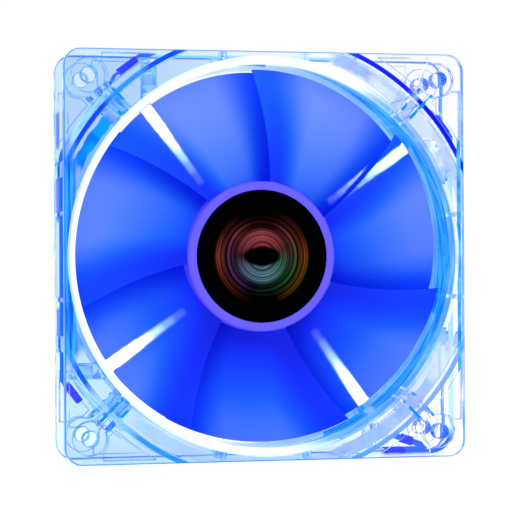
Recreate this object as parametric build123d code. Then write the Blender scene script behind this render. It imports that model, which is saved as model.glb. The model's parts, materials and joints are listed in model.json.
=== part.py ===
from build123d import *
import math
import os

# A 120 mm computer case fan with four lit corners. Millimetres, +Z up, axis along Y.
# The intake side, with the hub label, faces -Y. The origin is the centre of the frame's box.

# ---- frame ----
WIDTH = 120.0              # outer width and height
DEPTH = 25.0               # outer depth
CORNER_R = 5.0             # rounding of the frame's outer corners
EDGE_R = 0.5               # rounding of the flanges' outer rims
FLANGE_T = 3.5             # thickness of each flange
HOLE_PITCH = 105.0         # screw holes, centre to centre
HOLE_R = 2.25
SCREW_BOSS_R = 5.0
SCREW_BOSS_LENGTH = 5.5    # from the flange's outer face
BORE_R = 56.5              # air duct
DUCT_R = 58.8              # outside of the duct's wall
FLARE_R = 58.5             # duct radius at the intake face
FLARE_DEPTH = 3.4
ARC_WALL_R = 65.75         # curved corner walls, outside
ARC_WALL_T = 1.5
RIB_T = 1.0                # paired ribs on the diagonals
RIB_GAP = 3.5              # centre to centre
RIB_END_R = 69.6
EDGE_RIB_AT = 12.5         # small ribs across the edge grooves, from the middle of a side
EDGE_RIB_T = 1.2
POCKET_R = 67.6            # shallow pockets in the corners of the flanges
POCKET_EDGE = 58.7
POCKET_END = 48.9
POCKET_DEPTH = 1.2
POCKET_BOSS_R = 5.2
POCKET_SPINE = 6.4         # land left on each diagonal
CHANNEL_FLOOR = 58.85      # wire channel in the edge grooves
CHANNEL_HALF = 2.6

# ---- motor base and struts, part of the frame ----
BASE_R = 21.5
BASE_INNER_R = 20.3
BASE_RIM_Y = 9.4
BASE_FLOOR_Y = 11.2
BASE_POST_R = 6.3
BASE_POST_Y = 9.7
STRUT_ANGLES = (36.0, 126.0, 216.0, 306.0)
STRUT_W = 4.2
STRUT_Y = 9.9
LEAD_STRUT = 306.0         # this strut carries the wires
LEAD_CHANNEL_W = 2.2
LEAD_CHANNEL_DEPTH = 1.1

# ---- impeller ----
BLADES = 7
HUB_R = 22.3
HUB_FRONT = -3.5
HUB_REAR = 8.4
HUB_WALL_IN_R = 20.95
HUB_PLATE_REAR = -2.0
HUB_EDGE_R = 0.9
TIP_R = 55.5
BLADE_HALF_ANGLE = 29.0    # half of the angle that one blade covers
BLADE_LEAN = 10.0          # how far the tip leads the root, degrees
BLADE_PHASE = 2.3          # middle of the first blade's root, degrees from +X
BLADE_LEADING_Y = -2.4
BLADE_TRAILING_Y = 7.6
BLADE_CAMBER = 0.45
BLADE_ROOT_T = 2.2
BLADE_TIP_T = 1.3

# ---- labels ----
LABEL_R = 19.7
LABEL_RECESS_R = 19.85
LABEL_RECESS = 0.3
LABEL_T = 0.2
REAR_LABEL_R = 18.2
REAR_RECESS_R = 18.4

# ---- rotor ----
YOKE_R = 20.9
YOKE_T = 0.9
YOKE_REAR = 7.9
MAGNET_R = 19.95
MAGNET_IN_R = 18.2
MAGNET_Y = (-0.9, 7.5)
SHAFT_R = 1.49
SHAFT_Y = (-1.95, 11.6)
CLIP_Y = (11.0, 11.3)
CLIP_GROOVE_R = 1.25
BUSHING_R = 3.6
BUSHING_SPIGOT_R = 2.55
BUSHING_REAR = 0.7

# ---- bearings, 3 x 7 x 3 mm ----
BEARING_BORE_R = 1.5
BEARING_OUT_R = 3.49
BEARING_W = 3.0
BALL_PITCH_R = 2.5
BALL_R = 0.5
BALLS = 7
GROOVE_R = 0.53
RACE_IN_LAND = 2.15
RACE_OUT_LAND = 2.85
FRONT_BEARING_Y = 2.2      # front face of each bearing
REAR_BEARING_Y = 7.9
HOUSING_R = 4.8
HOUSING_NECK_R = 4.4
HOUSING_STEP_Y = 7.2
HOUSING_Y = (1.9, 12.0)
HOUSING_SEAT_R = 3.5
HOUSING_SHOULDER_R = 2.9

# ---- stator and board ----
POLE_R = 17.6
POLE_IN_R = 14.6
POLE_SLOT = 2.0
ARM_W = 3.6
CORE_RING_R = 7.0
CORE_Y = (1.8, 5.8)
INSULATOR_T = 0.9
COIL_R = (7.7, 14.0)
COIL_T = 1.3
BOARD_Y = (8.7, 9.7)
BOARD_R = 18.0
PIN_AT_R = 7.0

# ---- corner lights and their wiring ----
CORNER_NAMES = ("top_right", "top_left", "bottom_left", "bottom_right")
FED_CORNER = "bottom_right"        # the wires from the motor's board arrive here
LED_AT = 33.4              # along the side, from its middle
LED_BACK = 57.9            # distance of its back face from the fan's axis plane
LED_R = 1.5
LED_LENGTH = 5.3
LED_FLANGE_R = 1.9
LED_FLANGE_T = 0.9
HOLDER_R = 2.4
HOLDER_HOLE_R = 1.56
HOLDER_END = 57.0
HOLDER_HOLE_END = 50.5
LEAD_PITCH = 2.54
LEAD_W = 0.5
LEAD_LINE = 58.2           # the leads run along the side at this distance
SLEEVE_AT = 58.8
SLEEVE_R = 1.05
SLEEVE_SPAN = (37.8, 44.0)
BENT_LEAD_R = 0.26         # round leads, bent towards the corner
BENT_LEAD_LINE = 58.35
SLANT_START = (58.11, 37.17)       # middle of a slanted sleeve's first end, x and z
SLANT_ANGLE = 127.0        # the way it runs, degrees from +X
SLANT_LENGTH = 6.3
SPLICE_LEAD = -0.45        # the lead's place in that end, outwards from the middle
SPLICE_WIRE = 0.4          # and the incoming wire's
WIRE_R = 0.45
WIRE_LINE = 59.35
WIRE_CORNER_R = 7.0
WIRE_AFTER_SLEEVE = 1.6    # straight, before it follows the curved wall
WIRE_WALL_R = 66.5         # its distance from the axis along the curved wall
WIRE_WALL_ANGLES = (45.0, 53.0, 60.5)
WIRE_LEAVES_WALL = 30.0    # where it joins the channel of the next side
WIRE_BEND_R = 6.0
FEED_Y = 10.45
FEED_LINE = 58.25
FEED_SPREAD = 0.56         # each feed wire from the pair's middle
FEED_START_R = 17.0
FEED_END_R = 65.5
FEED_RISE = (43.2, 6.5, -54.9)     # the pair runs straight from here
FEED_TURN = (50.6, 4.6, -57.4)     # to here, inside its sleeve
FEED_SLEEVE_R = 1.4
FEED_SLEEVE_BORE = 1.08
LEAD_WINDOW_X = (37.0, 51.0)
LEAD_WINDOW_Z = (-59.2, -52.0)
LEAD_WINDOW_Y = 11.0
EXIT_X = (46.2, 50.2)

HALF = WIDTH / 2
FRONT = -DEPTH / 2
REAR = DEPTH / 2
INNER_FRONT = FRONT + FLANGE_T
INNER_REAR = REAR - FLANGE_T
HOLE_AT = HOLE_PITCH / 2
CLEAR = 1.0                # how far a cut runs past the faces it opens


def slab(outline, y_front, y_rear):
    """Extrude an outline drawn in the front view, x right and y up, between two depths."""
    plane = Plane(origin=(0, y_rear, 0), x_dir=(1, 0, 0), z_dir=(0, -1, 0))
    return extrude(plane * outline, amount=y_rear - y_front)


def disc(radius, y_front, y_rear):
    return slab(Circle(radius), y_front, y_rear)


def ring(outer, inner, y_front, y_rear):
    return slab(Circle(outer) - Circle(inner), y_front, y_rear)


def block(x, y, z):
    """A box given by its limits along X, Y and Z."""
    centre = ((x[0] + x[1]) / 2, (y[0] + y[1]) / 2, (z[0] + z[1]) / 2)
    return Pos(*centre) * Box(x[1] - x[0], y[1] - y[0], z[1] - z[0])


def turned(shape, degrees):
    """Turn about the fan's axis, counter-clockwise as seen from the front."""
    return Rot(0, -degrees, 0) * shape


def each_corner(shape):
    """One copy of a shape made for the top right corner, at each corner in turn."""
    return [turned(shape, 90 * k) for k in range(4)]


def polar(radius, degrees, depth):
    angle = math.radians(degrees)
    return (radius * math.cos(angle), depth, radius * math.sin(angle))


def joined(shapes):
    """Fuse a list of touching or overlapping solids."""
    whole = shapes[0]
    for shape in shapes[1:]:
        whole = whole + shape
    return whole


def group(shapes):
    """Keep several separate solids together in one node."""
    solids = []
    for shape in shapes:
        solids.extend(shape.solids())
    return Compound(children=solids)


# ---- frame ----

def flange(y_front, y_rear, outer_face):
    plate = slab(RectangleRounded(WIDTH, WIDTH, CORNER_R), y_front, y_rear)
    rim = [edge for edge in plate.edges() if abs(edge.center().Y - outer_face) < EDGE_R / 10]
    return fillet(rim, EDGE_R)


def curved_walls():
    wall = Circle(ARC_WALL_R) - Circle(ARC_WALL_R - ARC_WALL_T)
    return slab(wall & Rectangle(WIDTH, WIDTH), INNER_FRONT, INNER_REAR)


def diagonal_ribs():
    """The two ribs of the top right corner, and the gussets that carry them on to its screw boss."""
    near_flanges = [
        (INNER_FRONT, FRONT + SCREW_BOSS_LENGTH),
        (REAR - SCREW_BOSS_LENGTH, INNER_REAR),
    ]
    ribs = []
    for side in (-1, 1):
        across = side * RIB_GAP / 2
        width = (across - RIB_T / 2, across + RIB_T / 2)
        ribs.append(block((DUCT_R - 1, ARC_WALL_R - 0.2), (INNER_FRONT, INNER_REAR), width))
        ribs += [block((DUCT_R - 1, RIB_END_R), depth, width) for depth in near_flanges]
    return [turned(rib, 45) for rib in ribs]


def screw_bosses():
    boss = Pos(HOLE_AT, HOLE_AT) * Circle(SCREW_BOSS_R)
    front = slab(boss, FRONT + CLEAR, FRONT + SCREW_BOSS_LENGTH)
    rear = slab(boss, REAR - SCREW_BOSS_LENGTH, REAR - CLEAR)
    return [front, rear]


def edge_ribs():
    """The two small ribs across the groove of the right side."""
    ribs = []
    for side in (-1, 1):
        across = side * EDGE_RIB_AT
        span = (across - EDGE_RIB_T / 2, across + EDGE_RIB_T / 2)
        ribs.append(block((BORE_R - 1, HALF), (INNER_FRONT, INNER_REAR), span))
    return ribs


def along_side(radius, start, end, at, depth=0.0):
    """A cylinder that points across the right side, at a height given from its middle."""
    return Pos((start + end) / 2, depth, at) * Rot(0, 90, 0) * Cylinder(radius, end - start)


def pocket(mirrored):
    """One of the two shallow pockets beside the top right screw boss."""
    window = Pos((POCKET_END + 30) / 2, (POCKET_EDGE + 44) / 2) * Rectangle(
        POCKET_END - 30, POCKET_EDGE - 44)
    spine = Rot(0, 0, 45) * Rectangle(4 * HALF, POCKET_SPINE)
    boss = Pos(HOLE_AT, HOLE_AT) * Circle(POCKET_BOSS_R)
    outline = window - Circle(POCKET_R) - boss - spine
    if mirrored:
        outline = mirror(outline, about=Plane(origin=(0, 0, 0), z_dir=(1, -1, 0)))
    return outline


def flange_pockets():
    cuts = []
    for k in range(4):
        for mirrored in (False, True):
            outline = pocket(mirrored)
            front = slab(outline, FRONT - CLEAR, FRONT + POCKET_DEPTH)
            cuts.append(turned(front, 90 * k))
            holds_leads = k == 3 and mirrored
            if not holds_leads:
                rear = slab(outline, REAR - POCKET_DEPTH, REAR + CLEAR)
                cuts.append(turned(rear, 90 * k))
    return cuts


def wire_channel():
    outline = Rectangle(WIDTH + CLEAR, WIDTH + CLEAR) - Rectangle(2 * CHANNEL_FLOOR, 2 * CHANNEL_FLOOR)
    return slab(outline, -CHANNEL_HALF, CHANNEL_HALF)


def intake_flare():
    """The cone that widens the duct towards the intake face."""
    corners = [
        (0, FRONT - CLEAR),
        (FLARE_R + CLEAR * (FLARE_R - BORE_R) / FLARE_DEPTH, FRONT - CLEAR),
        (BORE_R, FRONT + FLARE_DEPTH),
        (0, FRONT + FLARE_DEPTH),
    ]
    return revolve(make_face(Polyline(*corners, close=True)), Axis.Y)


def motor_base():
    floor = disc(BASE_R, BASE_FLOOR_Y, REAR)
    rim = ring(BASE_R, BASE_INNER_R, BASE_RIM_Y, REAR)
    post = disc(BASE_POST_R, BASE_POST_Y, REAR)
    return [floor, rim, post]


def struts():
    bar = block((BASE_INNER_R, BORE_R + CLEAR), (STRUT_Y, REAR), (-STRUT_W / 2, STRUT_W / 2))
    return [turned(bar, angle) for angle in STRUT_ANGLES]


def lead_cuts():
    """The path of the wires: along a strut, into the corner, and out at the rear."""
    across = (-LEAD_CHANNEL_W / 2, LEAD_CHANNEL_W / 2)
    depth = (BASE_RIM_Y - CLEAR / 2, STRUT_Y + LEAD_CHANNEL_DEPTH)
    channel = turned(block((BASE_INNER_R - CLEAR, POCKET_R), depth, across), LEAD_STRUT)
    window = block(LEAD_WINDOW_X, (INNER_REAR - CLEAR, LEAD_WINDOW_Y), LEAD_WINDOW_Z)
    exit_notch = block(EXIT_X, (INNER_REAR - CLEAR, REAR + CLEAR), (-HALF - CLEAR, -HOLE_AT - 4))
    return [channel, window, exit_notch]


def make_frame():
    outside = [
        flange(FRONT, INNER_FRONT, FRONT),
        flange(INNER_REAR, REAR, REAR),
        disc(DUCT_R, INNER_FRONT, INNER_REAR),
        curved_walls(),
    ]
    holder = along_side(HOLDER_R, BORE_R * math.cos(math.radians(36)), HOLDER_END, LED_AT)
    for piece in diagonal_ribs() + screw_bosses() + edge_ribs() + [holder]:
        outside += each_corner(piece)
    body = joined(outside)
    body -= disc(BORE_R, FRONT - CLEAR, REAR + CLEAR)
    body -= intake_flare()
    body = joined([body] + struts() + motor_base())
    screw_hole = slab(Pos(HOLE_AT, HOLE_AT) * Circle(HOLE_R), FRONT - CLEAR, REAR + CLEAR)
    led_hole = along_side(HOLDER_HOLE_R, HOLDER_HOLE_END, HALF, LED_AT)
    led_hole += along_side(LED_FLANGE_R + 0.1, HOLDER_END, HALF, LED_AT)
    for cut in each_corner(screw_hole) + each_corner(led_hole) + flange_pockets() + lead_cuts():
        body -= cut
    body -= wire_channel()
    body -= disc(HOUSING_R + 0.02, BASE_RIM_Y, REAR + CLEAR)
    body -= disc(REAR_RECESS_R, REAR - LABEL_RECESS, REAR + CLEAR)
    return body


# ---- impeller ----

def blade_edge(distance, offset):
    """Where an edge of the blade crosses the plane at this distance from the axis."""
    radius = distance
    angle = 0.0
    for _ in range(30):
        grown = (radius - HUB_R) / (TIP_R - HUB_R)
        angle = math.radians(BLADE_LEAN * grown + offset)
        radius = distance / math.cos(angle)
    return distance * math.tan(angle)


def blade_section(distance):
    """Profile of the blade in a plane square to its radius."""
    trailing = blade_edge(distance, -BLADE_HALF_ANGLE)
    leading = blade_edge(distance, BLADE_HALF_ANGLE)
    grown = (distance - HUB_R) / (TIP_R - HUB_R)
    thickness = BLADE_ROOT_T + (BLADE_TIP_T - BLADE_ROOT_T) * grown
    front_side = []
    rear_side = []
    for step in range(9):
        t = step / 8
        rise = t + BLADE_CAMBER * t * (1 - t)
        depth = BLADE_TRAILING_Y + (BLADE_LEADING_Y - BLADE_TRAILING_Y) * rise
        half = thickness / 2 * (0.35 + 0.65 * math.sin(math.pi * (0.12 + 0.76 * t ** 0.8)))
        s = trailing + (leading - trailing) * t
        front_side.append((s, -depth + half))
        rear_side.append((s, -depth - half))
    plane = Plane(origin=(distance, 0, 0), x_dir=(0, 0, 1), z_dir=(1, 0, 0))
    outline = [
        Spline(*front_side),
        Line(front_side[-1], rear_side[-1]),
        Spline(*reversed(rear_side)),
        Line(rear_side[0], front_side[0]),
    ]
    return plane * make_face(outline)


def make_blade():
    distances = [17.0, 25.0, 33.0, 41.0, 49.0, 57.0]
    return loft([blade_section(distance) for distance in distances])


def make_impeller():
    blade = make_blade() & ring(TIP_R, HUB_WALL_IN_R + 0.4, -2 * DEPTH, 2 * DEPTH)
    hub = disc(HUB_R, HUB_FRONT, HUB_REAR)
    front_rim = [edge for edge in hub.edges() if edge.center().Y < HUB_FRONT + 0.1]
    hub = fillet(front_rim, HUB_EDGE_R)
    hub -= disc(HUB_WALL_IN_R, HUB_PLATE_REAR, HUB_REAR + CLEAR)
    hub -= disc(LABEL_RECESS_R, HUB_FRONT - CLEAR, HUB_FRONT + LABEL_RECESS)
    pitch = 360 / BLADES
    return joined([hub] + [turned(blade, BLADE_PHASE + pitch * k) for k in range(BLADES)])


def make_hub_label():
    rear = HUB_FRONT + LABEL_RECESS
    return disc(LABEL_R, rear - LABEL_T, rear)


# ---- rotor ----

def make_yoke():
    cup = disc(YOKE_R, HUB_PLATE_REAR, YOKE_REAR)
    cup -= disc(YOKE_R - YOKE_T, HUB_PLATE_REAR + YOKE_T, YOKE_REAR + CLEAR)
    return cup - disc(BUSHING_SPIGOT_R + 0.02, HUB_PLATE_REAR - CLEAR, YOKE_REAR)


def make_magnet():
    return ring(MAGNET_R, MAGNET_IN_R, *MAGNET_Y)


def make_bushing():
    collar = disc(BUSHING_R, HUB_PLATE_REAR + YOKE_T, BUSHING_REAR)
    spigot = disc(BUSHING_SPIGOT_R, HUB_PLATE_REAR, HUB_PLATE_REAR + YOKE_T)
    return collar + spigot - disc(BEARING_BORE_R, HUB_PLATE_REAR - CLEAR, BUSHING_REAR + CLEAR)


def make_shaft():
    rod = disc(SHAFT_R, *SHAFT_Y)
    ends = [edge for edge in rod.edges() if edge.geom_type == GeomType.CIRCLE]
    rod = chamfer(ends, 0.2)
    return rod - ring(SHAFT_R + CLEAR, CLIP_GROOVE_R, *CLIP_Y)


def make_clip():
    clip = ring(2.6, CLIP_GROOVE_R + 0.02, CLIP_Y[0] + 0.02, CLIP_Y[1] - 0.02)
    opening = block((0, 4), (CLIP_Y[0] - CLEAR, CLIP_Y[1] + CLEAR), (-0.8, 0.8))
    return clip - opening


def make_spring():
    wire_r = 0.14
    coil_r = 1.8
    height = FRONT_BEARING_Y - BUSHING_REAR - 2 * wire_r - 0.04
    helix = Helix(pitch=height / 2.5, height=height, radius=coil_r)
    section = Plane(origin=helix @ 0, z_dir=helix % 0) * Circle(wire_r)
    coil = sweep(section, path=helix)
    return Pos(0, FRONT_BEARING_Y - wire_r - 0.02, 0) * Rot(90, 0, 0) * coil


# ---- bearings ----

def ball_centres():
    return [360 / BALLS * k for k in range(BALLS)]


def raceway(y_front):
    return Pos(0, y_front + BEARING_W / 2, 0) * Rot(90, 0, 0) * Torus(BALL_PITCH_R, GROOVE_R)


def make_outer_race(y_front):
    race = ring(BEARING_OUT_R, RACE_OUT_LAND, y_front, y_front + BEARING_W)
    for start in (y_front - CLEAR, y_front + BEARING_W - 0.2):
        race -= disc(2.97, start, start + CLEAR + 0.2)
    return race - raceway(y_front)


def make_inner_race(y_front):
    race = ring(RACE_IN_LAND, BEARING_BORE_R, y_front, y_front + BEARING_W)
    return race - raceway(y_front)


def make_balls(y_front):
    middle = y_front + BEARING_W / 2
    return group([Pos(*polar(BALL_PITCH_R, a, middle)) * Sphere(BALL_R) for a in ball_centres()])


def make_cage(y_front):
    middle = y_front + BEARING_W / 2
    cage = ring(BALL_PITCH_R + 0.22, BALL_PITCH_R - 0.22, middle - 0.65, middle + 0.65)
    for angle in ball_centres():
        cell = along_side(GROOVE_R, BALL_PITCH_R - 1, BALL_PITCH_R + 1, 0, middle)
        cage -= turned(cell, angle)
    return cage


def make_shields(y_front):
    front = ring(2.95, RACE_IN_LAND + 0.1, y_front + 0.03, y_front + 0.18)
    rear = ring(2.95, RACE_IN_LAND + 0.1, y_front + BEARING_W - 0.18, y_front + BEARING_W - 0.03)
    return group([front, rear])


def make_housing():
    tube = disc(HOUSING_R, HOUSING_STEP_Y, HOUSING_Y[1])
    tube += disc(HOUSING_NECK_R, HOUSING_Y[0], HOUSING_STEP_Y)
    tube -= disc(HOUSING_SEAT_R, HOUSING_Y[0] - CLEAR, FRONT_BEARING_Y + BEARING_W)
    tube -= disc(HOUSING_SEAT_R, REAR_BEARING_Y, HOUSING_Y[1] + CLEAR)
    return tube - disc(HOUSING_SHOULDER_R, HOUSING_Y[0], HOUSING_Y[1])


def make_rear_plug():
    return disc(HOUSING_SEAT_R - 0.05, 11.75, 11.98)


# ---- stator and board ----

def four_arms(width, reach):
    arm = Pos(reach / 2, 0) * Rectangle(reach, width)
    across = Rot(0, 0, 90) * arm
    return arm + across + Rot(0, 0, 180) * arm + Rot(0, 0, 270) * arm


def make_stator_core():
    shoes = Circle(POLE_R) - Circle(POLE_IN_R)
    for angle in (45, 135):
        shoes -= Rot(0, 0, angle) * Rectangle(4 * POLE_R, POLE_SLOT)
    core = shoes + four_arms(ARM_W, POLE_IN_R + 0.5) + Circle(CORE_RING_R)
    return slab(core - Circle(HOUSING_NECK_R + 0.02), *CORE_Y)


def insulator_plate(y_front, y_rear):
    outline = four_arms(ARM_W + 1.2, POLE_IN_R - 0.2) + Circle(CORE_RING_R + 0.9)
    return slab(outline - Circle(HOUSING_NECK_R + 0.05), y_front, y_rear)


def make_front_insulator():
    return insulator_plate(CORE_Y[0] - INSULATOR_T, CORE_Y[0])


def make_rear_insulator():
    plate = insulator_plate(CORE_Y[1], CORE_Y[1] + INSULATOR_T)
    collar = ring(5.6, HOUSING_NECK_R + 0.05, CORE_Y[1] + INSULATOR_T, HOUSING_STEP_Y)
    plate = plate + collar
    for angle in (45, 135, 225):
        plate -= Pos(*polar(PIN_AT_R, angle, 6.5)) * Rot(90, 0, 0) * Cylinder(0.37, 1.0)
    return plate


def make_coils():
    inner_w = ARM_W + 1.3
    inner_h = CORE_Y[1] - CORE_Y[0] + 2 * INSULATOR_T + 0.1
    inner = Rectangle(inner_w, inner_h)
    outer = RectangleRounded(inner_w + 2 * COIL_T, inner_h + 2 * COIL_T, COIL_T)
    middle = (CORE_Y[0] + CORE_Y[1]) / 2
    plane = Plane(origin=(COIL_R[0], middle, 0), x_dir=(0, 0, 1), z_dir=(1, 0, 0))
    coil = extrude(plane * (outer - inner), amount=COIL_R[1] - COIL_R[0])
    return group(each_corner(coil))


def make_pins():
    pins = []
    for angle in (45, 135, 225):
        pins.append(Pos(*polar(PIN_AT_R, angle, 8.15)) * Rot(90, 0, 0) * Cylinder(0.35, 4.3))
    return group(pins)


def make_board():
    board = ring(BOARD_R, HOUSING_R + 0.15, *BOARD_Y)
    for angle in (45, 135, 225):
        board -= Pos(*polar(PIN_AT_R, angle, 9.2)) * Rot(90, 0, 0) * Cylinder(0.42, 2.0)
    return board


def on_board(radius, angle, length, width, height):
    """A small component on the front of the board."""
    part = block((radius - width / 2, radius + width / 2), (BOARD_Y[0] - height, BOARD_Y[0]),
                 (-length / 2, length / 2))
    return turned(part, angle)


# ---- corner lights ----

def make_led():
    body_start = LED_BACK - LED_FLANGE_T
    tip = LED_BACK - LED_LENGTH
    flange_disc = along_side(LED_FLANGE_R, body_start, LED_BACK, LED_AT)
    barrel = along_side(LED_R, tip + LED_R, body_start, LED_AT)
    return flange_disc + barrel + Pos(tip + LED_R, 0, LED_AT) * Sphere(LED_R)


def both_wires(make_one):
    return group([make_one(-LEAD_PITCH / 2), make_one(LEAD_PITCH / 2)])


def led_lead(depth):
    thick = (depth - LEAD_W / 2, depth + LEAD_W / 2)
    line = (LEAD_LINE - LEAD_W / 2, LEAD_LINE + LEAD_W / 2)
    stub = block((LED_BACK, line[1]), thick, (LED_AT - LEAD_W / 2, LED_AT + LEAD_W / 2))
    return stub + block(line, thick, (LED_AT, SLEEVE_SPAN[0]))


def joint_sleeve(depth):
    length = SLEEVE_SPAN[1] - SLEEVE_SPAN[0]
    return Pos(SLEEVE_AT, depth, sum(SLEEVE_SPAN) / 2) * Cylinder(SLEEVE_R, length)


def tube_along(points, radii, wire_r):
    path = FilletPolyline(*points, radius=radii)
    section = Plane(origin=path @ 0, z_dir=path % 0) * Circle(wire_r)
    return sweep(section, path=path)


def slanted(along, outward, depth):
    """A point by the slanted sleeves of the top right corner, measured from their first end."""
    angle = math.radians(SLANT_ANGLE)
    x = SLANT_START[0] + along * math.cos(angle) + outward * math.sin(angle)
    z = SLANT_START[1] + along * math.sin(angle) - outward * math.cos(angle)
    return Vector(x, depth, z)


def slant_corner(x, outward, depth):
    """Where a line that runs up the side at this x meets the slanted line."""
    angle = math.radians(SLANT_ANGLE)
    along = (x - SLANT_START[0] - outward * math.sin(angle)) / math.cos(angle)
    return slanted(along, outward, depth)


def next_corner(point):
    return Vector(-point.Z, point.Y, point.X)


def bent_lead(depth):
    points = [
        Vector(LED_BACK, depth, LED_AT),
        Vector(BENT_LEAD_LINE, depth, LED_AT),
        slant_corner(BENT_LEAD_LINE, SPLICE_LEAD, depth),
        slanted(0, SPLICE_LEAD, depth),
    ]
    return tube_along(points, [0.35, 0.5], BENT_LEAD_R)


def slanted_sleeve(depth):
    start = slanted(0, 0, depth)
    along = slanted(SLANT_LENGTH, 0, depth) - start
    return extrude(Plane(origin=start, z_dir=along) * Circle(SLEEVE_R), amount=SLANT_LENGTH)


def wire_end(depth):
    """The last two points of a wire that runs into the next corner's slanted sleeve."""
    last = [slant_corner(WIRE_LINE, SPLICE_WIRE, depth), slanted(0, SPLICE_WIRE, depth)]
    return [next_corner(point) for point in last]


def outer_wire(depth):
    """A wire from the straight sleeve, round the outside of the corner, to the next sleeve."""
    points = [Vector(WIRE_LINE, depth, SLEEVE_SPAN[1]), Vector(WIRE_LINE, depth, WIRE_LINE)]
    return tube_along(points + wire_end(depth), [WIRE_CORNER_R, 1.0], WIRE_R)


def wall_wire(depth):
    """A wire from a slanted sleeve, along the curved wall, to the next corner's sleeve."""
    points = [slanted(SLANT_LENGTH, 0, depth), slanted(SLANT_LENGTH + WIRE_AFTER_SLEEVE, 0, depth)]
    points += [Vector(*polar(WIRE_WALL_R, angle, depth)) for angle in WIRE_WALL_ANGLES]
    points.append(Vector(WIRE_LEAVES_WALL, depth, WIRE_LINE))
    points += wire_end(depth)
    return tube_along(points, [2.0] + [WIRE_BEND_R] * 4 + [1.0], WIRE_R)


def feed_wire(depth):
    """A wire from the board along the strut to the sleeves of the bottom right corner."""
    side = 1 if depth > 0 else -1
    angle = math.radians(LEAD_STRUT)
    shift = Vector(-math.sin(angle), 0, math.cos(angle)) * side * FEED_SPREAD
    middles = [
        Vector(*polar(FEED_START_R, LEAD_STRUT, FEED_Y)),
        Vector(*polar(FEED_END_R, LEAD_STRUT, FEED_Y)),
        Vector(*FEED_RISE),
        Vector(*FEED_TURN),
    ]
    points = [middle + shift for middle in middles]
    points.append(Vector(FEED_TURN[0] + 0.6, depth, -FEED_LINE))
    points.append(Vector(SLEEVE_SPAN[1], depth, -FEED_LINE))
    return tube_along(points, [2.5, 2.5, 1.0, 1.0], WIRE_R)


def make_feed_sleeve():
    """Heat-shrink tube round the straight stretch of the feed pair."""
    start = Vector(*FEED_RISE)
    along = Vector(*FEED_TURN) - start
    plane = Plane(origin=start + along * 0.22, z_dir=along)
    outline = Circle(FEED_SLEEVE_R) - Circle(FEED_SLEEVE_BORE)
    return extrude(plane * outline, amount=along.length * 0.5)


def make_parts():
    parts = {
        "frame": make_frame(),
        "bearing_housing": make_housing(),
        "rear_plug": make_rear_plug(),
        "stator_core": make_stator_core(),
        "front_insulator": make_front_insulator(),
        "rear_insulator": make_rear_insulator(),
        "coil_windings": make_coils(),
        "winding_pins": make_pins(),
        "circuit_board": make_board(),
        "hall_driver": on_board(15.6, 45, 3.6, 1.6, 0.9),
        "board_capacitor": on_board(15.4, 135, 2.0, 1.2, 0.7),
        "board_resistors": group([on_board(15.6, 215, 1.6, 0.8, 0.45),
                                  on_board(15.6, 235, 1.6, 0.8, 0.45)]),
        "rear_label": disc(REAR_LABEL_R, REAR - LABEL_RECESS, REAR - LABEL_RECESS + LABEL_T),
        "impeller": make_impeller(),
        "hub_label": make_hub_label(),
        "rotor_yoke": make_yoke(),
        "rotor_magnet": make_magnet(),
        "shaft_bushing": make_bushing(),
        "rotor_shaft": make_shaft(),
        "preload_spring": make_spring(),
        "retaining_clip": make_clip(),
        "led_feed_wires": both_wires(feed_wire),
        "feed_sleeve": make_feed_sleeve(),
    }
    for name, start in (("front", FRONT_BEARING_Y), ("rear", REAR_BEARING_Y)):
        parts[name + "_outer_race"] = make_outer_race(start)
        parts[name + "_inner_race"] = make_inner_race(start)
        parts[name + "_bearing_balls"] = make_balls(start)
        parts[name + "_ball_cage"] = make_cage(start)
        parts[name + "_shields"] = make_shields(start)
    for k, corner in enumerate(CORNER_NAMES):
        fed = corner == FED_CORNER
        parts["led_" + corner] = turned(make_led(), 90 * k)
        parts["led_leads_" + corner] = turned(both_wires(led_lead if fed else bent_lead), 90 * k)
        parts["sleeves_" + corner] = turned(both_wires(joint_sleeve if fed else slanted_sleeve), 90 * k)
    parts["harness_right"] = turned(both_wires(outer_wire), 270)
    parts["harness_top"] = both_wires(wall_wire)
    parts["harness_left"] = turned(both_wires(wall_wire), 90)
    return parts


os.makedirs("parts", exist_ok=True)
for node, shape in make_parts().items():
    export_step(shape, "parts/" + node + ".step")
    print(node, len(shape.solids()), round(shape.volume, 2))
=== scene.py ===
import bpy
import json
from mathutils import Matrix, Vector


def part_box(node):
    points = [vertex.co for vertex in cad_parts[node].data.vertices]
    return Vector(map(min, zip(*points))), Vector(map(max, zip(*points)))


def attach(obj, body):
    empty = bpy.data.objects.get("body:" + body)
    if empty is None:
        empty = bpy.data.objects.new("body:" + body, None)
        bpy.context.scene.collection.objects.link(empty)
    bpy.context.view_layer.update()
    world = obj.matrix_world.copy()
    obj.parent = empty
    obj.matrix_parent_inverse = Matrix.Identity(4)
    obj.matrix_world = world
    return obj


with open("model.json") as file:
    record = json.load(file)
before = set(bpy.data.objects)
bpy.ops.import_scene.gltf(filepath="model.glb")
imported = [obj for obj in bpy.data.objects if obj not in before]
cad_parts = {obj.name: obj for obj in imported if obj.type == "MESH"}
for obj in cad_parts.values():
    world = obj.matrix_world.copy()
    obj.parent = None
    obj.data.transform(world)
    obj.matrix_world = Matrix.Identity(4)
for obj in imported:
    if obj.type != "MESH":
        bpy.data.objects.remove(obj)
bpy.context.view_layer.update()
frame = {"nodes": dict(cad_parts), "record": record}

import json
import math
from types import SimpleNamespace

import bmesh
import bpy
from mathutils import Matrix, Vector

MM = 0.001
RECORD = frame["record"]
NODES = frame["nodes"]
CORNERS = ("top_right", "top_left", "bottom_left", "bottom_right")

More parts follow.
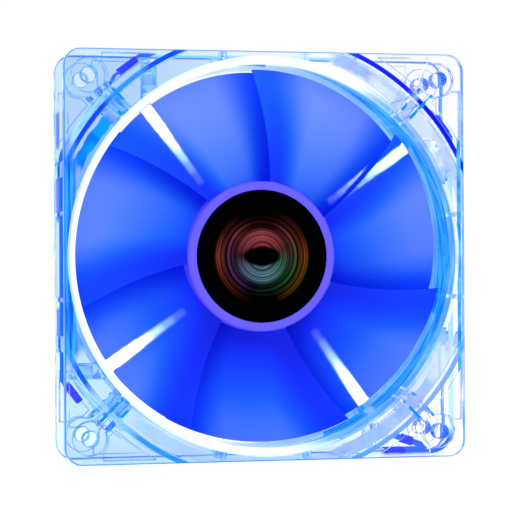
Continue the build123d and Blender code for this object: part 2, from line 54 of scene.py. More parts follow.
# ---- sizes taken from the frame ----
FLOOR_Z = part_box("frame")[0].z
label_low, label_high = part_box("hub_label")
LABEL_RADIUS = (label_high.x - label_low.x) / 2
blade_low, blade_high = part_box("impeller")
TIP_RADIUS = (blade_high.x - blade_low.x) / 2
HUB_RADIUS = 22.3 * MM
BLADES = 7
BLADE_PITCH = 2 * math.pi / BLADES
DARK_BAND = math.radians(27.5)         # middle of a band of painted shade at the hub
BLADE_LEAN = math.radians(10.0)        # how far a band turns from the hub to the tips


# ---- camera ----

def aim(obj, position, target, roll=0.0):
    """Put an object at a position, looking along its own -Z at the target."""
    obj.location = position
    turn = (Vector(target) - Vector(position)).to_track_quat("-Z", "Y")
    obj.rotation_mode = "QUATERNION"
    obj.rotation_quaternion = turn @ Matrix.Rotation(roll, 4, "Z").to_quaternion()


def around(azimuth, elevation, distance, target):
    """A point at this distance from the target; azimuth 0 is in front, towards -Y."""
    a = math.radians(azimuth)
    e = math.radians(elevation)
    back = Vector((math.sin(a) * math.cos(e), -math.cos(a) * math.cos(e), math.sin(e)))
    return Vector(target) + back * distance


def make_camera():
    data = bpy.data.cameras.new("camera")
    camera = bpy.data.objects.new("camera", data)
    bpy.context.scene.collection.objects.link(camera)
    data.sensor_width = 36.0
    data.lens = 141.14
    data.clip_start = 0.01
    data.clip_end = 20.0
    target = Vector((-1.1, 0.0, 0.1)) * MM
    aim(camera, around(-12.54, -0.575, 0.599, target), target, math.radians(-0.326))
    bpy.context.scene.camera = camera


# ---- light and floor ----

def area_light(name, position, target, size, power, colour=(1, 1, 1), spread=180.0):
    data = bpy.data.lights.new(name, "AREA")
    data.shape = "RECTANGLE"
    data.size, data.size_y = size
    data.energy = power
    data.color = colour
    data.spread = math.radians(spread)
    light = bpy.data.objects.new(name, data)
    bpy.context.scene.collection.objects.link(light)
    aim(light, position, target)
    return light


def make_studio():
    world = bpy.data.worlds.new("studio")
    bpy.context.scene.world = world
    world.use_nodes = True
    background = world.node_tree.nodes["Background"]
    background.inputs["Color"].default_value = (1, 1, 1, 1)
    background.inputs["Strength"].default_value = 1.0
    bpy.context.scene.view_settings.view_transform = "Standard"
    area_light("key", (-0.5, -0.7, 0.7), (0, 0, 0), (0.5, 0.5), 1.2)
    area_light("top", (0.1, -0.1, 0.8), (0, 0, 0), (0.6, 0.6), 0.8)


def make_floor():
    mesh = bpy.data.meshes.new("floor")
    grid = bmesh.new()
    bmesh.ops.create_grid(grid, x_segments=8, y_segments=8, size=4.0)
    grid.to_mesh(mesh)
    grid.free()
    floor = bpy.data.objects.new("floor", mesh)
    bpy.context.scene.collection.objects.link(floor)
    floor.location.z = FLOOR_Z
    mesh.materials.append(floor_material())


# ---- material helpers ----

class Nodes:
    """A small helper that makes and joins the nodes of one material."""

    def __init__(self, name):
        self.material = bpy.data.materials.new(name)
        self.material.use_nodes = True
        self.tree = self.material.node_tree
        self.tree.nodes.clear()
        self.output = self.tree.nodes.new("ShaderNodeOutputMaterial")

    def add(self, kind, settings=None, **inputs):
        node = self.tree.nodes.new("ShaderNode" + kind)
        for key, value in (settings or {}).items():
            setattr(node, key, value)
        for key, value in inputs.items():
            self.feed(node.inputs[key.replace("_", " ")], value)
        return node

    def feed(self, socket, value):
        if isinstance(value, bpy.types.NodeSocket):
            self.tree.links.new(value, socket)
        elif hasattr(value, "outputs"):
            self.tree.links.new(value.outputs[0], socket)
        else:
            socket.default_value = value

    def math(self, operation, first, second=0.0, clamp=False):
        node = self.add("Math", {"operation": operation, "use_clamp": clamp})
        self.feed(node.inputs[0], first)
        self.feed(node.inputs[1], second)
        return node.outputs[0]

    def times(self, *values):
        """The product of the values; each may be a socket."""
        result = values[0]
        for value in values[1:]:
            result = self.math("MULTIPLY", result, value)
        return result

    def most(self, *values):
        """The largest of the values; each may be a socket."""
        result = values[0]
        for value in values[1:]:
            result = self.math("MAXIMUM", result, value)
        return result

    def rest(self, value):
        """1 less the value."""
        return self.line(value, 1.0, -1.0)

    def length(self, first, second):
        """The length of a line with these two parts at right angles."""
        return self.math("SQRT", self.math("ADD", self.times(first, first), self.times(second, second)))

    def scaled(self, vector, factors):
        node = self.add("VectorMath", {"operation": "MULTIPLY"})
        self.feed(node.inputs[0], vector)
        self.feed(node.inputs[1], factors)
        return node

    def line(self, value, start, slope):
        """start + slope times value; each may be a socket."""
        return self.math("ADD", self.math("MULTIPLY", value, slope), start)

    def smooth(self, value, low, high):
        """0 below low, 1 above high, smooth between; high may be the smaller."""
        node = self.add("MapRange", {"interpolation_type": "SMOOTHSTEP"})
        self.feed(node.inputs["Value"], value)
        self.feed(node.inputs["From Min"], min(low, high))
        self.feed(node.inputs["From Max"], max(low, high))
        self.feed(node.inputs["To Min"], 0.0 if high > low else 1.0)
        self.feed(node.inputs["To Max"], 1.0 if high > low else 0.0)
        return node.outputs["Result"]

    def mix(self, factor, first, second):
        node = self.add("Mix", {"data_type": "RGBA"})
        self.feed(node.inputs["Factor"], factor)
        self.feed(node.inputs[6], first)
        self.feed(node.inputs[7], second)
        return node.outputs[2]

    def position(self):
        """Object coordinates as x, y, z, radius from the fan's axis and angle round it."""
        coordinates = self.add("TexCoord").outputs["Object"]
        split = self.add("SeparateXYZ", Vector=coordinates)
        x, y, z = split.outputs
        return coordinates, x, y, z, self.length(x, z), self.math("ARCTAN2", z, x)

    def noise(self, vector, scale, detail=3.0):
        node = self.add("TexNoise", Vector=vector, Scale=scale, Detail=detail)
        return node.outputs["Fac"]

    def bump(self, height, strength, distance=0.0002):
        node = self.add("Bump", Height=height, Strength=strength, Distance=distance)
        return node.outputs["Normal"]

    def ramp(self, value, stops, interpolation="LINEAR"):
        node = self.add("ValToRGB")
        node.color_ramp.interpolation = interpolation
        elements = node.color_ramp.elements
        while len(elements) < len(stops):
            elements.new(0.5)
        for element, (at, colour) in zip(elements, stops):
            element.position = at
            element.color = (*colour, 1.0)
        self.feed(node.inputs["Fac"], value)
        return node.outputs["Color"]

    def finish(self, shader):
        self.feed(self.output.inputs["Surface"], shader)
        return self.material


def srgb(red, green, blue):
    """A colour given as the 0-255 values that a screen shows."""
    def linear(value):
        value /= 255
        return value / 12.92 if value <= 0.04045 else ((value + 0.055) / 1.055) ** 2.4
    return linear(red), linear(green), linear(blue)


def rgba(colour):
    return (*colour, 1.0)


# ---- materials ----

def floor_material():
    n = Nodes("floor_white")
    coordinates = n.add("TexCoord").outputs["Object"]
    grain = n.noise(coordinates, 40.0)
    colour = n.mix(grain, rgba((0.55, 0.55, 0.56)), rgba((0.58, 0.58, 0.58)))
    shader = n.add("BsdfPrincipled", Base_Color=colour, Roughness=0.6)
    shader.inputs["Emission Color"].default_value = (1, 1, 1, 1)
    shader.inputs["Emission Strength"].default_value = 0.6
    return n.finish(shader)


# ---- the frame's clear plastic ----

# the curved corner walls: degrees from +X, and the painted light and shade that each stretch shows
WALL_LIGHT_AND_SHADE = (
    (24, (0, 10, 245)), (45, (0, 10, 245)), (46.5, (130, 175, 250)), (48, (0, 10, 245)),
    (64, (0, 15, 245)), (100, (60, 150, 245)), (115, (0, 60, 232)), (122, (0, 60, 232)),
    (125, (30, 130, 240)), (135, (30, 130, 240)), (138, (0, 50, 232)), (180, (0, 60, 232)),
    (214, (0, 80, 228)), (218, (130, 190, 250)), (229, (110, 180, 250)), (234, (20, 125, 240)),
    (290, (60, 150, 245)), (312, (110, 150, 246)), (336, (110, 150, 246)))
# light caught in the flange beside the duct: degrees from +X, and how strong
CAUGHT_LIGHT = (
    (15, 0.5), (30, 0.5), (33, 0.0), (57, 0.0), (60, 0.7), (70, 0.7), (73, 0.0), (137, 0.0),
    (140, 1.0), (155, 1.0), (158, 0.35), (163, 0.7), (176, 0.6), (190, 0.6), (205, 0.9),
    (208, 0.1), (225, 0.0), (232, 0.45), (262, 0.3), (284, 0.5), (322, 0.7), (326, 0.1))
# dark dashes in the left groove: heights in mm where each starts, is full, fades and ends
DASHES = ((9, 12, 25, 27), (31, 33, 42, 44), (-28, -26, -16, -14))
SCREW_AT = 52.5 * MM                   # screw holes, from the middle along X and along Z
RIB_ASIDE = 1.75 * MM                  # each rib of a pair, from the diagonal


def frame_places(n):
    """The places and patterns that the frame's colours are worked out from."""
    coordinates, x, y, z, radius, angle = n.position()
    at = SimpleNamespace(coordinates=coordinates, x=x, y=y, z=z, radius=radius)
    at.turn = n.math("FRACT", n.math("ADD", n.math("DIVIDE", angle, 2 * math.pi), 1.0))
    normal = n.add("TexCoord").outputs["Normal"]
    at.facing = n.math("ABSOLUTE", n.add("SeparateXYZ", Vector=normal).outputs["Y"])
    at.wall = n.smooth(at.facing, 0.75, 0.2)
    at.front = n.smooth(y, -12.2 * MM, -12.4 * MM)
    # painted light: 0 at the left hand side and 1 at the right, where the plastic is painted paler
    along = n.times(n.math("ADD", x, n.times(z, 0.3)), 1 / (60 * MM))
    at.pale = n.smooth(along, -0.5, 0.8)
    at.flow = n.noise(coordinates, 60.0, 2.0)
    at.blotches = n.smooth(n.noise(coordinates, 170.0, 2.0), 0.40, 0.60)
    stretched = n.scaled(coordinates, (90.0, 700.0, 90.0))
    at.streak = n.smooth(n.noise(stretched, 1.0, 3.0), 0.42, 0.66)
    return at


def plain_tint(n, at):
    """Pale faces and azure walls, both painted paler towards the right; the walls' azure is painted light
    that they carry.
    """
    face = n.mix(at.pale, rgba((0.66, 0.81, 0.985)), rgba((0.97, 0.985, 1.0)))
    side = n.mix(at.blotches, rgba((0.0, 0.26, 0.95)), rgba((0.30, 0.66, 1.0)))
    side = n.mix(n.times(at.pale, 0.9), side, rgba((0.94, 0.96, 1.0)))
    return n.mix(at.wall, face, side)


def duct_wall(n, at, tint):
    """The duct's wall carries the light round the fan in streaks."""
    mask = n.times(at.wall, n.smooth(at.radius, 59.5 * MM, 59.2 * MM))
    colour = n.mix(at.streak, rgba((0.0, 0.21, 0.94)), rgba((0.06, 0.42, 1.0)))
    return mask, n.mix(mask, tint, colour)


def corner_walls(n, at, tint):
    """The curved corner walls as seen through the front face, painted onto it with their light and shade, and
    given a painted glow.
    """
    mask = n.times(n.smooth(at.radius, 64.2 * MM, 64.5 * MM), n.smooth(at.radius, 66.0 * MM, 65.7 * MM))
    mask = n.times(mask, at.front)
    colour = n.ramp(at.turn, [(degrees / 360, srgb(*shade)) for degrees, shade in WALL_LIGHT_AND_SHADE])
    return mask, n.mix(mask, tint, colour)


def caught_light(n, at, tint):
    """Ragged patches of light caught in the front flange beside the duct."""
    strength = n.ramp(at.turn, [(degrees / 360, (amount,) * 3) for degrees, amount in CAUGHT_LIGHT])
    ragged = n.times(n.noise(at.coordinates, 190.0, 3.0), 2.4 * MM)
    wavy = n.math("ADD", at.radius, ragged)
    mask = n.times(n.smooth(wavy, 61.0 * MM, 61.3 * MM), n.smooth(wavy, 64.9 * MM, 64.3 * MM))
    mask = n.times(mask, n.times(strength, at.front))
    colour = n.mix(at.blotches, rgba((0.0, 0.12, 0.90)), rgba((0.0, 0.27, 0.96)))
    return mask, n.mix(mask, tint, colour)


def diagonal_ribs(n, at, tint):
    """The pairs of ribs on the diagonals, seen through the front face, painted in as azure light with a
    painted glow.
    """
    from_diagonal = n.math("SUBTRACT", n.math("ABSOLUTE", at.x), n.math("ABSOLUTE", at.z))
    aside = n.times(n.math("ABSOLUTE", from_diagonal), 0.7071)
    mask = n.smooth(n.math("ABSOLUTE", n.math("SUBTRACT", aside, RIB_ASIDE)), 0.55 * MM, 0.45 * MM)
    mask = n.times(mask, n.smooth(at.radius, 59.0 * MM, 59.5 * MM))
    mask = n.times(mask, n.smooth(at.radius, 69.6 * MM, 69.0 * MM))
    mask = n.times(mask, n.smooth(n.noise(at.coordinates, 330.0, 1.0), 0.42, 0.52))
    return mask, n.mix(mask, tint, rgba((0.0, 0.24, 0.93)))


def screw_holes(n, at, tint):
    """The screw holes' walls, with painted light: azure on the left and deep blue on the right, and a painted
    glow.
    """
    across = n.math("SUBTRACT", n.math("ABSOLUTE", at.x), SCREW_AT)
    up = n.math("SUBTRACT", n.math("ABSOLUTE", at.z), SCREW_AT)
    mask = n.times(at.wall, n.smooth(n.length(across, up), 2.6 * MM, 2.4 * MM))
    colour = n.mix(n.smooth(at.x, -20 * MM, 20 * MM), rgba((0.0, 0.3, 0.9)), rgba((0.0, 0.09, 0.86)))
    return mask, n.mix(mask, tint, colour)


def right_border(n, at, tint):
    """Painted light: the outer wall glows azure on the right and along the lower right."""
    lower = n.times(n.smooth(at.z, -59.5 * MM, -59.8 * MM), n.smooth(at.x, 0.0, 25 * MM))
    mask = n.times(at.wall, n.most(n.smooth(at.x, 59.3 * MM, 59.7 * MM), lower))
    mask = n.times(mask, n.line(n.smooth(at.flow, 0.42, 0.58), 0.65, 0.35))
    return mask, n.mix(mask, tint, rgba((0.02, 0.32, 0.98)))


def right_lip(n, at, tint):
    """The right groove's inner lip as seen through the front face, painted onto the front face as azure light
    with a painted glow.
    """
    mask = n.times(n.smooth(at.x, 57.5 * MM, 57.8 * MM), n.smooth(at.x, 59.0 * MM, 58.8 * MM))
    mask = n.times(mask, n.smooth(n.math("ABSOLUTE", at.z), 48 * MM, 34 * MM), at.front)
    colour = n.mix(at.blotches, rgba((0.0, 0.22, 0.86)), rgba((0.06, 0.42, 1.0)))
    return mask, n.mix(mask, tint, colour)


def left_flank(n, at, tint):
    """Painted azure light in upright streaks where the duct nears the left outer wall, and along the front
    flange's left edge, with a painted glow.
    """
    beyond = n.times(at.wall, n.smooth(at.radius, 58.4 * MM, 58.7 * MM))
    beyond = n.most(beyond, n.smooth(at.radius, 58.9 * MM, 59.2 * MM))
    height = n.smooth(n.math("ABSOLUTE", at.z), 36 * MM, 26 * MM)
    mask = n.times(n.smooth(at.x, -55.5 * MM, -57.5 * MM), height, n.smooth(at.y, 6 * MM, 3 * MM), beyond)
    edge = n.times(at.wall, n.smooth(at.x, -59.3 * MM, -59.7 * MM), n.smooth(at.y, -8.0 * MM, -8.6 * MM))
    mask = n.most(mask, n.times(edge, n.smooth(at.z, 46 * MM, 40 * MM)))
    upright = n.scaled(at.coordinates, (900.0, 90.0, 45.0))
    grained = n.smooth(n.noise(upright, 1.0, 2.0), 0.40, 0.60)
    colour = n.mix(grained, rgba((0.0, 0.08, 0.85)), rgba((0.03, 0.36, 0.98)))
    return mask, n.mix(mask, tint, colour)


def left_dashes(n, at, tint):
    """Dark dashes on the rear flange, seen through the left groove."""
    mask = n.times(n.smooth(at.y, 8.0 * MM, 8.3 * MM), n.smooth(at.y, 9.2 * MM, 8.9 * MM))
    mask = n.times(mask, n.smooth(at.x, -58.5 * MM, -58.8 * MM), n.smooth(at.x, -59.8 * MM, -59.6 * MM))
    spans = 0.0
    for start, full, fade, end in DASHES:
        span = n.times(n.smooth(at.z, start * MM, full * MM), n.smooth(at.z, end * MM, fade * MM))
        spans = n.math("ADD", span, spans)
    mask = n.times(mask, spans)
    return mask, n.mix(mask, tint, rgba((0.0, 0.03, 0.72)))


def edge_lines(n, at, tint):
    """Thin lines of light along the sharp edges and the flanges' rounded ones."""
    bevel = n.add("Bevel", {"samples": 4}, Radius=0.5 * MM)
    true_normal = n.add("NewGeometry").outputs["Normal"]
    bent = n.add("VectorMath", {"operation": "DOT_PRODUCT"})
    n.feed(bent.inputs[0], bevel.outputs["Normal"])
    n.feed(bent.inputs[1], true_normal)
    past_rim = n.smooth(at.radius, 58.9 * MM, 59.3 * MM)
    sharp = n.times(n.smooth(bent.outputs["Value"], 0.99, 0.93), past_rim)
    sharp = n.times(sharp, n.smooth(n.noise(at.coordinates, 130.0, 2.0), 0.32, 0.54))
    fillet = n.times(n.smooth(at.facing, 0.98, 0.90), n.smooth(at.facing, 0.15, 0.35))
    flange = n.smooth(n.math("ABSOLUTE", at.y), 8.7 * MM, 8.9 * MM)
    mask = n.most(sharp, n.times(fillet, flange, past_rim, 0.9))
    return mask, n.mix(mask, tint, rgba((0.0, 0.21, 0.90)))


def rim_glow(n, at, tint):
    """The duct's front rim: glowing white, but azure and dimmer on the right hand side."""
    rim = n.times(n.smooth(at.radius, 56.2 * MM, 56.6 * MM), n.smooth(at.radius, 58.9 * MM, 58.0 * MM))
    rim = n.times(rim, n.smooth(at.y, -3.0 * MM, -11.0 * MM))
    turned = n.math("SUBTRACT", at.x, n.times(at.z, 0.173))
    right = n.smooth(n.math("DIVIDE", turned, at.radius), 0.25, 0.6)
    azure = n.mix(at.streak, rgba((0.0, 0.2, 0.9)), rgba((0.25, 0.6, 1.0)))
    light = n.mix(rim, tint, n.mix(right, rgba((0.95, 0.97, 1.0)), azure))
    return rim, n.times(rim, n.line(right, 1.15, -0.8)), light


def clear_plastic():
    """The frame: clear moulded plastic, blue where light runs along its walls, with a glowing duct rim."""
    n = Nodes("clear_plastic")
    at = frame_places(n)
    tint = plain_tint(n, at)
    duct, tint = duct_wall(n, at, tint)
    seen, tint = corner_walls(n, at, tint)
    caught, tint = caught_light(n, at, tint)
    rib, tint = diagonal_ribs(n, at, tint)
    bore, tint = screw_holes(n, at, tint)
    border, tint = right_border(n, at, tint)
    lip, tint = right_lip(n, at, tint)
    flank, tint = left_flank(n, at, tint)
    dash, tint = left_dashes(n, at, tint)
    edge, tint = edge_lines(n, at, tint)
    rim, glow, light = rim_glow(n, at, tint)
    # how solid each place is: walls seen from inside the plastic, then places seen from outside
    inside = n.times(at.wall, n.most(n.line(at.pale, 0.75, -0.35), n.times(duct, 0.6)))
    inside = n.times(n.most(inside, n.times(border, 0.95)), n.rest(flank))
    outside = n.times(n.most(rib, lip, caught, seen), 0.8)
    outside = n.most(outside, n.times(n.most(flank, dash), 0.9), n.times(edge, 0.95))
    solid = n.most(inside, outside, n.times(bore, 0.8))
    # the painted glow that the solid places carry, less in the walls painted paler on the right
    quiet = n.times(at.pale, at.wall, n.rest(n.most(border, duct, edge)))
    carried = n.times(inside, n.line(quiet, 0.75, -0.4))
    carried = n.most(carried, n.math("ADD", n.times(outside, 0.15), n.times(bore, 0.5)))
    carried = n.times(carried, n.rest(rim))
    shader = n.add("BsdfPrincipled", Base_Color=tint)
    shader.inputs["IOR"].default_value = 1.33
    shader.inputs["Specular IOR Level"].default_value = 0.02
    n.feed(shader.inputs["Transmission Weight"], n.rest(solid))
    n.feed(shader.inputs["Roughness"], n.times(n.noise(at.coordinates, 900.0, 2.0), 0.05))
    n.feed(shader.inputs["Normal"], n.bump(at.flow, 0.2, 0.0004))
    n.feed(shader.inputs["Emission Color"], light)
    n.feed(shader.inputs["Emission Strength"], n.math("ADD", glow, carried))
    return n.finish(shader)


# ---- the other materials ----

# the blades' colours, from the darkest level to the lightest, which carry painted light and shade
BLADE_COLOURS = (
    (0.0, (18, 36, 212)), (0.08, (18, 45, 235)), (0.25, (20, 67, 241)), (0.38, (24, 83, 242)),
    (0.48, (32, 97, 242)), (0.56, (48, 107, 243)), (0.72, (78, 127, 246)), (0.85, (104, 142, 247)),
    (1.0, (127, 158, 249)))
BLADE_GAIN = 0.85                      # the studio's light brightens them again


def blue_plastic():
    """The impeller: translucent blue, with painted light from its rim, painted shade where two blades meet
    and painted shade towards the bottom.
    """
    n = Nodes("blue_plastic")
    coordinates, x, y, z, radius, angle = n.position()
    outwards = n.math("DIVIDE", n.math("SUBTRACT", radius, 27 * MM), 24 * MM)
    # painted shade: darker towards the bottom and lighter towards the top, as lit from above
    height = n.math("DIVIDE", z, radius)
    grown = n.math("DIVIDE", n.math("SUBTRACT", radius, HUB_RADIUS), TIP_RADIUS - HUB_RADIUS)
    lean = n.times(grown, BLADE_LEAN)
    local = n.math("SUBTRACT", n.math("SUBTRACT", angle, lean), DARK_BAND)
    turns = n.math("ADD", n.math("DIVIDE", local, BLADE_PITCH), 7.5)
    across = n.times(n.math("SUBTRACT", n.math("FRACT", turns), 0.5), 2.0)
    # painted shade in the band where two blades meet
    painted_band_shade = n.smooth(n.math("ABSOLUTE", across), 0.70, 0.04)
    light = n.line(height, n.line(outwards, 0.364, 0.48), n.line(outwards, 0.322, -0.173))
    dark = n.line(height, n.line(outwards, 0.08, 0.228), n.line(outwards, 0.08, 0.085))
    level = n.math("ADD", light, n.times(painted_band_shade, n.math("SUBTRACT", dark, light)))
    stops = [(at, tuple(BLADE_GAIN * c for c in srgb(*shade))) for at, shade in BLADE_COLOURS]
    blade = n.ramp(level, stops)
    hub = n.smooth(radius, 22.6 * MM, 22.2 * MM)
    colour = n.mix(hub, blade, rgba(srgb(100, 88, 245)))
    grain = n.noise(coordinates, 700.0)
    base = n.add("BsdfPrincipled", Base_Color=colour)
    n.feed(base.inputs["Roughness"], n.line(grain, 0.35, 0.2))
    base.inputs["Specular IOR Level"].default_value = 0.03
    n.feed(base.inputs["Normal"], n.bump(grain, 0.05, 0.0001))
    # painted glow: the blades give off a little of their own colour
    n.feed(base.inputs["Emission Color"], colour)
    base.inputs["Emission Strength"].default_value = 0.1
    return n.finish(base)


# the label's arcs: turns from -X, and the colour there, print with its rainbow sheen painted in
LABEL_INNER = (
    (0.0, (70, 30, 40)), (0.10, (85, 110, 140)), (0.30, (95, 140, 145)), (0.45, (60, 110, 90)),
    (0.55, (90, 50, 50)), (0.63, (150, 60, 65)), (0.75, (170, 75, 85)), (0.88, (150, 65, 70)),
    (1.0, (70, 30, 40)))
LABEL_MIDDLE = (
    (0.0, (85, 45, 70)), (0.10, (75, 40, 80)), (0.20, (25, 15, 28)), (0.29, (12, 40, 25)),
    (0.38, (30, 78, 32)), (0.46, (60, 80, 42)), (0.60, (112, 50, 55)), (0.70, (40, 10, 12)),
    (0.80, (40, 10, 12)), (0.89, (115, 48, 52)), (1.0, (85, 45, 70)))
LABEL_OUTER = (
    (0.0, (160, 70, 48)), (0.08, (110, 40, 25)), (0.17, (45, 12, 5)), (0.22, (0, 0, 0)),
    (0.30, (0, 0, 0)), (0.36, (90, 62, 8)), (0.44, (112, 76, 16)), (0.50, (140, 75, 32)),
    (0.58, (85, 30, 26)), (0.68, (30, 6, 8)), (0.72, (0, 0, 0)), (0.83, (0, 0, 0)),
    (0.91, (75, 25, 28)), (1.0, (160, 70, 48)))


def label_material():
    """The hub label: black, with generic arcs of print in rainbow colour, their foil sheen painted in, as on
    spun foil.
    """
    n = Nodes("hub_label")
    coordinates, x, y, z, radius, angle = n.position()
    r = n.math("DIVIDE", radius, LABEL_RADIUS)
    turn = n.math("ADD", n.math("DIVIDE", angle, 2 * math.pi), 0.5)
    black = rgba((0.0001, 0.0001, 0.0001))
    arcs = (LABEL_INNER, LABEL_MIDDLE, LABEL_OUTER)
    inner, middle, outer = (n.ramp(turn, [(at, srgb(*shade)) for at, shade in stops]) for stops in arcs)
    wide = n.math("DIVIDE", x, 6.0 * MM)
    tall = n.math("DIVIDE", z, 3.0 * MM)
    eye = n.length(wide, tall)
    rings = n.add("TexNoise", {"noise_dimensions": "1D"}, W=r, Scale=26.0, Detail=3.0)
    shine = n.times(n.smooth(rings.outputs["Fac"], 0.25, 0.75), 0.85, n.smooth(eye, 0.8, 1.1))

    def band(low, high, soft):
        return n.times(n.smooth(r, low - soft, low + soft), n.smooth(r, high + soft, high - soft), shine)
    colour = n.mix(band(0.15, 0.40, 0.05), black, inner)
    colour = n.mix(band(0.44, 0.58, 0.05), colour, middle)
    colour = n.mix(band(0.61, 0.71, 0.03), colour, outer)
    shader = n.add("BsdfPrincipled", Base_Color=colour)
    n.feed(shader.inputs["Roughness"], n.line(n.noise(coordinates, 900.0), 0.3, 0.2))
    shader.inputs["Specular IOR Level"].default_value = 0.005
    n.feed(shader.inputs["Normal"], n.bump(n.noise(coordinates, 1500.0), 0.03, 0.0001))
    return n.finish(shader)


def plain(name, colour, roughness, metallic=0.0, scale=800.0, variation=0.15, bump=0.1):
    """A moulded, machined or coated surface with fine colour and roughness variation."""
    n = Nodes(name)
    coordinates = n.add("TexCoord").outputs["Object"]
    grain = n.noise(coordinates, scale)
    darker = rgba(tuple(c * (1 - variation) for c in colour))
    shader = n.add("BsdfPrincipled", Base_Color=n.mix(grain, darker, rgba(colour)))
    shader.inputs["Metallic"].default_value = metallic
    spread = n.math("ADD", n.math("MULTIPLY", grain, roughness * 0.6), roughness * 0.7)
    n.feed(shader.inputs["Roughness"], spread)
    n.feed(shader.inputs["Normal"], n.bump(grain, bump, 0.0001))
    return n.finish(shader)


def lit_sheath(name, colour, roughness):
    """Blue insulation that the corner lights shine into, with painted light: paler along the curved, top and
    right walls, and a painted glow.
    """
    n = Nodes(name)
    coordinates, x, y, z, radius, angle = n.position()
    grain = n.noise(coordinates, 600.0)
    darker = rgba(tuple(c * 0.75 for c in colour))
    by_wall = n.times(n.smooth(radius, 67.6 * MM, 67.2 * MM), n.smooth(x, 5 * MM, -5 * MM))
    by_wall = n.times(by_wall, n.smooth(x, -57.6 * MM, -56.8 * MM))
    by_top = n.times(n.smooth(n.math("ABSOLUTE", x), 32 * MM, 28 * MM), n.smooth(z, 50 * MM, 52 * MM))
    by_right = n.times(n.smooth(z, -56 * MM, -52 * MM), n.smooth(z, 34 * MM, 30 * MM))
    by_right = n.times(by_right, n.smooth(x, 50 * MM, 52 * MM))
    # painted light: paler where the corner lights fall
    pale = n.most(by_wall, by_top, by_right)
    tint = n.mix(pale, n.mix(grain, darker, rgba(colour)), rgba(srgb(165, 205, 250)))
    shader = n.add("BsdfPrincipled", Base_Color=tint)
    shader.inputs["Specular IOR Level"].default_value = 0.1
    n.feed(shader.inputs["Roughness"], n.math("ADD", n.math("MULTIPLY", grain, 0.2), roughness))
    n.feed(shader.inputs["Normal"], n.bump(grain, 0.2, 0.0001))
    # painted glow of the corner lights in the insulation
    n.feed(shader.inputs["Emission Color"], tint)
    shader.inputs["Emission Strength"].default_value = 0.7
    return n.finish(shader)


def clear_epoxy():
    n = Nodes("led_epoxy")
    coordinates = n.add("TexCoord").outputs["Object"]
    grain = n.noise(coordinates, 500.0)
    colour = n.mix(grain, rgba((0.85, 0.93, 1.0)), rgba((0.92, 0.97, 1.0)))
    shader = n.add("BsdfPrincipled", Base_Color=colour)
    shader.inputs["Transmission Weight"].default_value = 1.0
    shader.inputs["IOR"].default_value = 1.5
    n.feed(shader.inputs["Roughness"], n.math("MULTIPLY", grain, 0.08))
    shader.inputs["Emission Color"].default_value = (0.5, 0.75, 1.0, 1)
    shader.inputs["Emission Strength"].default_value = 0.25
    return n.finish(shader)


def slot_materials():
    return {
        "clear_plastic": clear_plastic(),
        "blue_plastic": blue_plastic(),
        "hub_label": label_material(),
        "rear_label": plain("rear_label", (0.72, 0.74, 0.78), 0.35, 0.0, 400.0, 0.05, 0.03),
        "brass": plain("brass", (0.78, 0.55, 0.25), 0.3, 1.0),
        "steel": plain("steel", (0.55, 0.56, 0.58), 0.28, 1.0),
        "magnet": plain("magnet", (0.05, 0.045, 0.045), 0.7),
        "cage": plain("cage", (0.5, 0.36, 0.2), 0.5),
        "copper": plain("copper", (0.75, 0.28, 0.12), 0.3, 1.0),
        "white_plastic": plain("white_plastic", (0.82, 0.82, 0.78), 0.5),
        "dark_plastic": plain("dark_plastic", (0.02, 0.02, 0.022), 0.5),
        "board": plain("board", (0.01, 0.12, 0.05), 0.35),
        "chip": plain("chip", (0.015, 0.015, 0.016), 0.5),
        "ceramic_part": plain("ceramic_part", (0.45, 0.3, 0.17), 0.5),
        "led": clear_epoxy(),
        "lead_metal": plain("lead_metal", (0.7, 0.71, 0.73), 0.25, 1.0),
        "sleeve": lit_sheath("sleeve", srgb(0, 35, 210), 0.45),
        "wire": lit_sheath("wire", srgb(0, 95, 238), 0.4),
    }


def dress_cad():
    made = slot_materials()
    for entry in RECORD["subparts"]:
        obj = NODES[entry["node"]]
        obj.data.materials.clear()
        obj.data.materials.append(made[entry["material_slot"]])


# ---- pieces inside the lights ----

LED_AT = 33.4 * MM                     # along the side, from its middle
LED_BACK = 57.9 * MM                   # the light's back face, from the fan's axis plane


def add_box(mesh, low, high):
    """A bevelled box between two corners."""
    centre = (Vector(low) + Vector(high)) / 2
    size = Vector(high) - Vector(low)
    made = bmesh.ops.create_cube(mesh, size=1.0)["verts"]
    bmesh.ops.scale(mesh, vec=size, verts=made)
    bmesh.ops.translate(mesh, vec=centre, verts=made)
    edges = list({edge for vertex in made for edge in vertex.link_edges})
    bmesh.ops.bevel(mesh, geom=edges, offset=min(size) * 0.18, segments=2, affect="EDGES")


def add_lathe(mesh, profile, steps=24):
    """A turned shape about X: profile is a list of (x, radius)."""
    rings = []
    for x, radius in profile:
        ring = []
        for step in range(steps):
            turn = 2 * math.pi * step / steps
            ring.append(mesh.verts.new((x, radius * math.cos(turn), radius * math.sin(turn))))
        rings.append(ring)
    for low, high in zip(rings, rings[1:]):
        for step in range(steps):
            after = (step + 1) % steps
            mesh.faces.new((low[step], low[after], high[after], high[step]))
    mesh.faces.new(list(reversed(rings[0])))
    mesh.faces.new(rings[-1])


def finish_piece(name, mesh, material, corner):
    """Turn a mesh made for the top right corner to its own corner and let it ride with the frame."""
    data = bpy.data.meshes.new(name)
    bmesh.ops.recalc_face_normals(mesh, faces=mesh.faces)
    mesh.to_mesh(data)
    mesh.free()
    data.transform(Matrix.Rotation(-corner * math.pi / 2, 4, "Y"))
    data.materials.append(material)
    for polygon in data.polygons:
        polygon.use_smooth = True
    piece = bpy.data.objects.new(name, data)
    bpy.context.scene.collection.objects.link(piece)
    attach(piece, "housing")


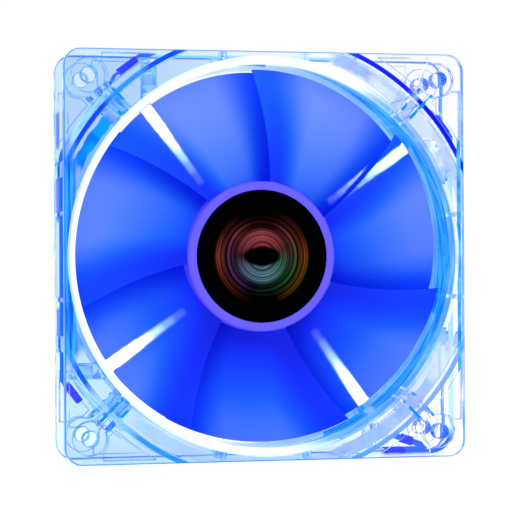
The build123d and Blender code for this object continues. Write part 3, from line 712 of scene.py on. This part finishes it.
def led_die_material():
    n = Nodes("led_die")
    coordinates = n.add("TexCoord").outputs["Object"]
    grain = n.noise(coordinates, 3000.0)
    colour = n.mix(grain, rgba((0.25, 0.55, 1.0)), rgba((0.45, 0.75, 1.0)))
    shader = n.add("BsdfPrincipled", Base_Color=colour, Roughness=0.4)
    n.feed(shader.inputs["Emission Color"], colour)
    shader.inputs["Emission Strength"].default_value = 12.0
    return n.finish(shader)


def make_led_insides():
    """The lead frame, reflector cup and glowing chip inside each clear light."""
    metal = plain("led_frame_metal", (0.75, 0.76, 0.78), 0.3, 1.0)
    chip = led_die_material()
    for k, corner in enumerate(CORNERS):
        mesh = bmesh.new()
        back = LED_BACK - 0.1 * MM
        half = 0.25 * MM
        anvil = (LED_BACK - 2.9 * MM, -1.0 * MM, LED_AT - half)
        add_box(mesh, anvil, (back, -0.2 * MM, LED_AT + half))
        add_box(mesh, (LED_BACK - 2.6 * MM, 0.35 * MM, LED_AT - half), (back, 0.85 * MM, LED_AT + half))
        cup = bmesh.new()
        tip = LED_BACK - 3.5 * MM
        profile = [(tip, 0.62), (tip + 0.02 * MM, 0.56), (tip + 0.4 * MM, 0.3), (tip + 0.42 * MM, 0.0005),
                   (tip + 0.6 * MM, 0.0005), (tip + 0.6 * MM, 0.42), (tip + 0.1 * MM, 0.66)]
        add_lathe(cup, [(x, radius * MM) for x, radius in profile])
        bmesh.ops.translate(cup, vec=(0, -0.4 * MM, LED_AT), verts=cup.verts)
        finish_piece("led_frame_" + corner, mesh, metal, k)
        finish_piece("led_cup_" + corner, cup, metal, k)
        die = bmesh.new()
        low = (tip + 0.22 * MM, -0.58 * MM, LED_AT - 0.18 * MM)
        add_box(die, low, (tip + 0.4 * MM, -0.22 * MM, LED_AT + 0.18 * MM))
        finish_piece("led_die_" + corner, die, chip, k)


# ---- the light that each corner throws across the blades ----

# degrees from +X, and the shift sideways in mm
BEAMS = ((36.0, 0.0), (126.0, 1.9), (216.0, -0.5), (306.0, 0.6))
BEAM_OUTER = 55.8 * MM
WARM = (1.0, 0.19, 0.1)                # on blue plastic this gives lavender
BRIGHT = (1.0, 0.36, 0.15)             # and this nearly white
# inner end and width in mm, strength, and colour
BEAM_STEPS = (
    (28.0, 2.0, 36.0, WARM), (32.0, 2.2, 54.0, WARM), (36.0, 2.4, 66.0, WARM),
    (40.0, 2.6, 100.0, WARM), (44.0, 2.8, 150.0, BRIGHT), (48.0, 2.9, 250.0, BRIGHT))
BEAM_FRONT = -30.0 * MM                # the strips' own place, in front of the fan
BEAM_SPREAD = 2.5                      # degrees


def make_beams():
    """Narrow collimated strips of light that fall on whichever blade passes each corner light."""
    for angle, shift in BEAMS:
        a = math.radians(angle)
        outward = Vector((math.cos(a), 0, math.sin(a)))
        sideways = Vector((-math.sin(a), 0, math.cos(a))) * shift * MM
        for inner, width, strength, colour in BEAM_STEPS:
            length = BEAM_OUTER - inner * MM
            middle = outward * (BEAM_OUTER - length / 2) + sideways
            power = strength * length * width * MM
            place = middle + Vector((0, BEAM_FRONT, 0))
            name = "beam_%d_%d" % (angle, inner)
            size = (length, width * MM)
            beam = area_light(name, place, middle, size, power, colour, BEAM_SPREAD)
            beam.rotation_quaternion = beam_turn(a)
            beam.visible_camera = False
            beam.visible_glossy = False
            beam.visible_transmission = False


def beam_turn(a):
    """Local -Z along +Y and local X along the radius at angle a."""
    radial = Vector((math.cos(a), 0, math.sin(a)))
    back = Vector((0, -1, 0))
    up = back.cross(radial)
    return Matrix((radial, up, back)).transposed().to_quaternion()


make_camera()
make_studio()
make_beams()
make_floor()
dress_cad()
make_led_insides()
